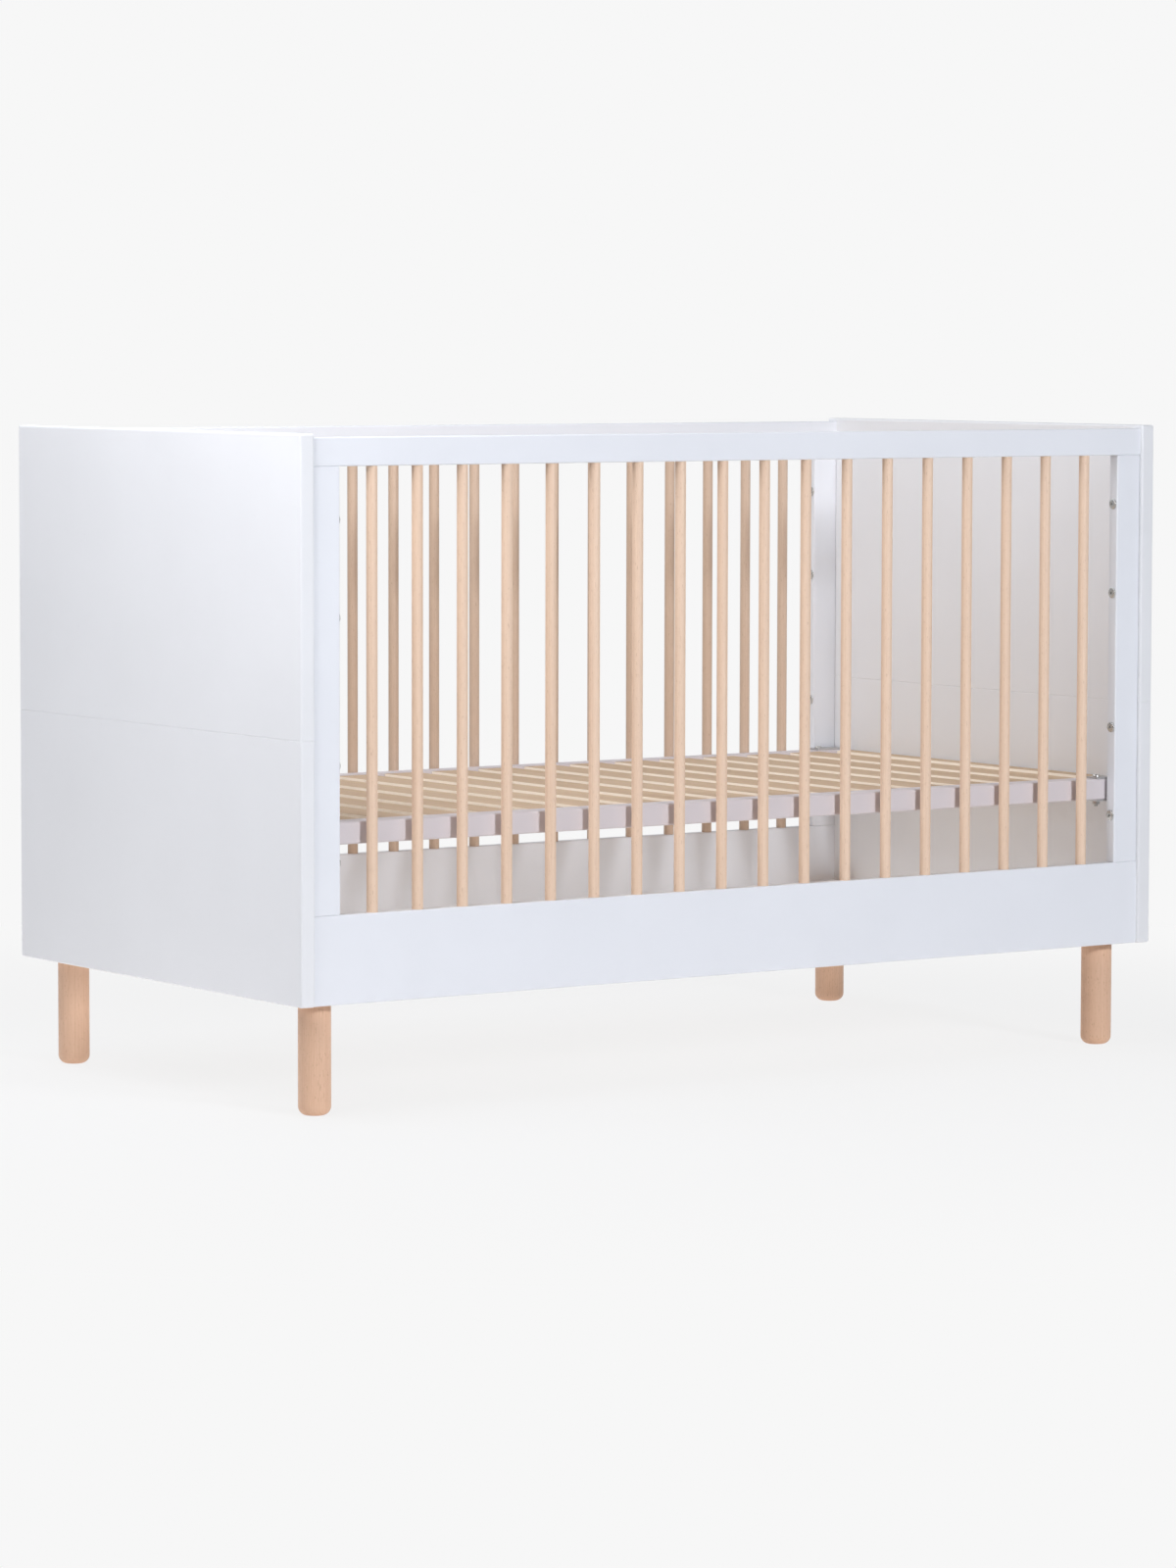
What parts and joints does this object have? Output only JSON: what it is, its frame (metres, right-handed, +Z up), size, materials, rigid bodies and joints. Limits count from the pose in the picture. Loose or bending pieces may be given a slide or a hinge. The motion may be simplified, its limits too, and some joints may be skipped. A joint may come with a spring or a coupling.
{
  "type": "baby crib",
  "caption": "Baby crib with solid two-board end panels, barred side frames, a slatted base that lifts to a higher level, and turned round legs.",
  "frame": {"origin": "on the floor, at the centre of the footprint", "axes": "+Z up, +X along the length, front side at -Y"},
  "size_m": [1.45, 0.748, 0.9],
  "materials": {
    "lacquered_panel": "satin white lacquer",
    "lacquered_frame": "satin white lacquer",
    "lacquered_base": "matt white lacquer",
    "pine_slats": "planed, unfinished",
    "beech_bars": "sanded, clear matt oil",
    "beech_legs": "sanded, clear matt oil",
    "raw_beech": "unfinished",
    "zinc_bracket": "zinc plated",
    "zinc_insert": "zinc plated",
    "zinc_screws": "zinc plated"
  },
  "bodies": {
    "crib_frame": {"back_bars": "beech_bars", "back_bottom_rail": "lacquered_frame", "back_left_stile": "lacquered_frame", "back_right_stile": "lacquered_frame", "back_top_rail": "lacquered_frame", "block_screws": "zinc_screws", "corner_block_back_left": "raw_beech", "corner_block_back_right": "raw_beech", "corner_block_front_left": "raw_beech", "corner_block_front_right": "raw_beech", "front_bars": "beech_bars", "front_bottom_rail": "lacquered_frame", "front_left_stile": "lacquered_frame", "front_right_stile": "lacquered_frame", "front_top_rail": "lacquered_frame", "left_end_lower_board": "lacquered_panel", "left_end_upper_board": "lacquered_panel", "leg_back_left": "beech_legs", "leg_back_right": "beech_legs", "leg_bolts": "zinc_screws", "leg_front_left": "beech_legs", "leg_front_right": "beech_legs", "leg_inserts": "zinc_insert", "level_inserts": "zinc_insert", "level_screws": "zinc_screws", "right_end_lower_board": "lacquered_panel", "right_end_upper_board": "lacquered_panel", "seam_dowels": "raw_beech", "side_bolt_inserts": "zinc_insert", "side_bolts": "zinc_screws", "side_frame_dowels": "raw_beech"},
    "mattress_base": {"base_back_rail": "lacquered_base", "base_bracket_back_left": "zinc_bracket", "base_bracket_back_right": "zinc_bracket", "base_bracket_front_left": "zinc_bracket", "base_bracket_front_right": "zinc_bracket", "base_dowels": "raw_beech", "base_front_rail": "lacquered_base", "base_left_rail": "pine_slats", "base_right_rail": "pine_slats", "bracket_bolts": "zinc_screws", "bracket_nuts": "zinc_screws", "slat_01": "pine_slats", "slat_02": "pine_slats", "slat_03": "pine_slats", "slat_04": "pine_slats", "slat_05": "pine_slats", "slat_06": "pine_slats", "slat_07": "pine_slats", "slat_08": "pine_slats", "slat_09": "pine_slats", "slat_10": "pine_slats", "slat_11": "pine_slats", "slat_12": "pine_slats", "slat_13": "pine_slats", "slat_14": "pine_slats", "slat_15": "pine_slats", "slat_16": "pine_slats"}
  },
  "joints": [
    {"name": "base_lift", "type": "slide", "parent": "crib_frame", "child": "mattress_base", "axis": [0, 0, 1], "range_m": [0, 0.172]}
  ]
}
